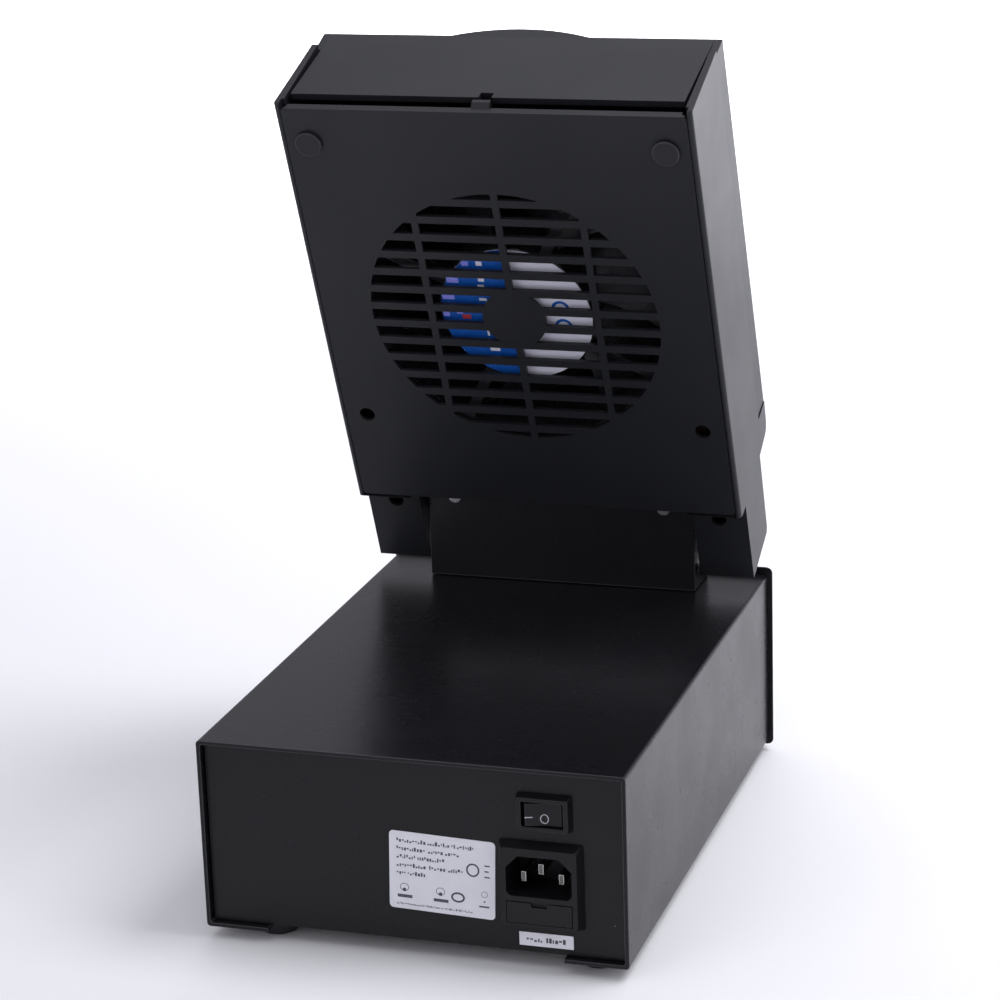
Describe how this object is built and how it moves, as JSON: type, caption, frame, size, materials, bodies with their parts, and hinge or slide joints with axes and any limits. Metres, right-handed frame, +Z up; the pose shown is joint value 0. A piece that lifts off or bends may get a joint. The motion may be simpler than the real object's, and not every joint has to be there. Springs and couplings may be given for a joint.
{
  "type": "solder fume extractor",
  "caption": "Bench solder fume extractor: a slotted fan head that tilts on a neck over a flat soldering station base with rear mains inlet, power switch and front controls.",
  "frame": {"origin": "middle of the whole object seen from above, at the underside of the feet", "axes": "+Z up, -Y towards the user and the front controls, +Y towards the rear panel with the mains inlet, X along the head hinge"},
  "size_m": [0.1656, 0.2374, 0.3125],
  "materials": {
    "base_paint": "satin black",
    "head_plastic": "fine matt black",
    "base_plastic": "matt black",
    "rubber": "matt",
    "steel": "bright",
    "contact": "bright plated",
    "label": "white printed",
    "fan_label": "blue and white printed",
    "display": "smoked",
    "lamp": "milky",
    "board": "green",
    "core": "laminated",
    "copper": "enamelled wire",
    "foam": "open foam",
    "key": "grey",
    "fan_metal": "black painted",
    "fuse_glass": "clear"
  },
  "bodies": {
    "base": {"base_sleeve": "base_paint", "base_chassis": "base_paint", "front_bezel": "base_plastic", "display_lens": "display", "iron_socket": "steel", "control_board": "board", "transformer_core": "core", "transformer_winding": "copper", "main_board": "board", "switch_housing": "base_plastic", "inlet_housing": "base_plastic", "inlet_pin_live": "contact", "inlet_pin_neutral": "contact", "inlet_pin_earth": "contact", "rating_label": "label", "fuse_label": "label", "foot_rear_left": "rubber", "foot_rear_right": "rubber", "foot_front_left": "rubber", "foot_front_right": "rubber", "neck_bracket": "base_paint", "neck_screw_left": "steel", "neck_screw_right": "steel", "pivot_bolt_left": "steel", "pivot_bolt_right": "steel"},
    "head": {"head_shell": "head_plastic", "rear_grille_plate": "head_plastic", "bumper_left": "rubber", "bumper_right": "rubber", "plate_screw_left": "steel", "plate_screw_right": "steel", "cheek_screw_left": "steel", "cheek_screw_right": "steel", "lamp_strip": "board", "lamp_lens": "lamp", "fan_frame": "fan_metal", "fan_hub_label": "fan_label"},
    "fan_rotor": {"fan_rotor": "base_plastic"},
    "filter_cover": {"filter_cover": "head_plastic", "carbon_filter": "foam"},
    "power_rocker": {"switch_rocker": "base_plastic"},
    "fuse_drawer": {"fuse_drawer": "base_plastic", "fuse_link": "fuse_glass"},
    "temp_down_button": {"temp_down_button": "key"},
    "temp_up_button": {"temp_up_button": "key"},
    "fan_button": {"fan_button": "key"},
    "lamp_button": {"lamp_button": "key"}
  },
  "joints": [
    {"name": "head_tilt", "type": "hinge", "parent": "base", "child": "head", "pos_m": [0, -0.09694, 0.10705], "axis": [1, 0, 0], "range_deg": [-67.5, 22.5]},
    {"name": "fan_spin", "type": "hinge", "parent": "head", "child": "fan_rotor", "pos_m": [0, -0.03741, 0.20741], "axis": [0, -0.9239, 0.3827], "continuous": true},
    {"name": "cover_open", "type": "hinge", "parent": "head", "child": "filter_cover", "pos_m": [0, -0.11029, 0.15479], "axis": [1, 0, 0], "range_deg": [0, 75]},
    {"name": "power_switch", "type": "hinge", "parent": "base", "child": "power_rocker", "pos_m": [-0.05, 0.11395, 0.0614], "axis": [0, 0, -1], "range_deg": [0, 16]},
    {"name": "fuse_drawer_slide", "type": "slide", "parent": "base", "child": "fuse_drawer", "axis": [0, 1, 0], "range_m": [0, 0.014]},
    {"name": "temp_down_press", "type": "slide", "parent": "base", "child": "temp_down_button", "axis": [0, 1, 0], "range_m": [0, 0.001], "stiffness_N_per_m": 250},
    {"name": "temp_up_press", "type": "slide", "parent": "base", "child": "temp_up_button", "axis": [0, 1, 0], "range_m": [0, 0.001], "stiffness_N_per_m": 250},
    {"name": "fan_press", "type": "slide", "parent": "base", "child": "fan_button", "axis": [0, 1, 0], "range_m": [0, 0.001], "stiffness_N_per_m": 250},
    {"name": "lamp_press", "type": "slide", "parent": "base", "child": "lamp_button", "axis": [0, 1, 0], "range_m": [0, 0.001], "stiffness_N_per_m": 250}
  ]
}
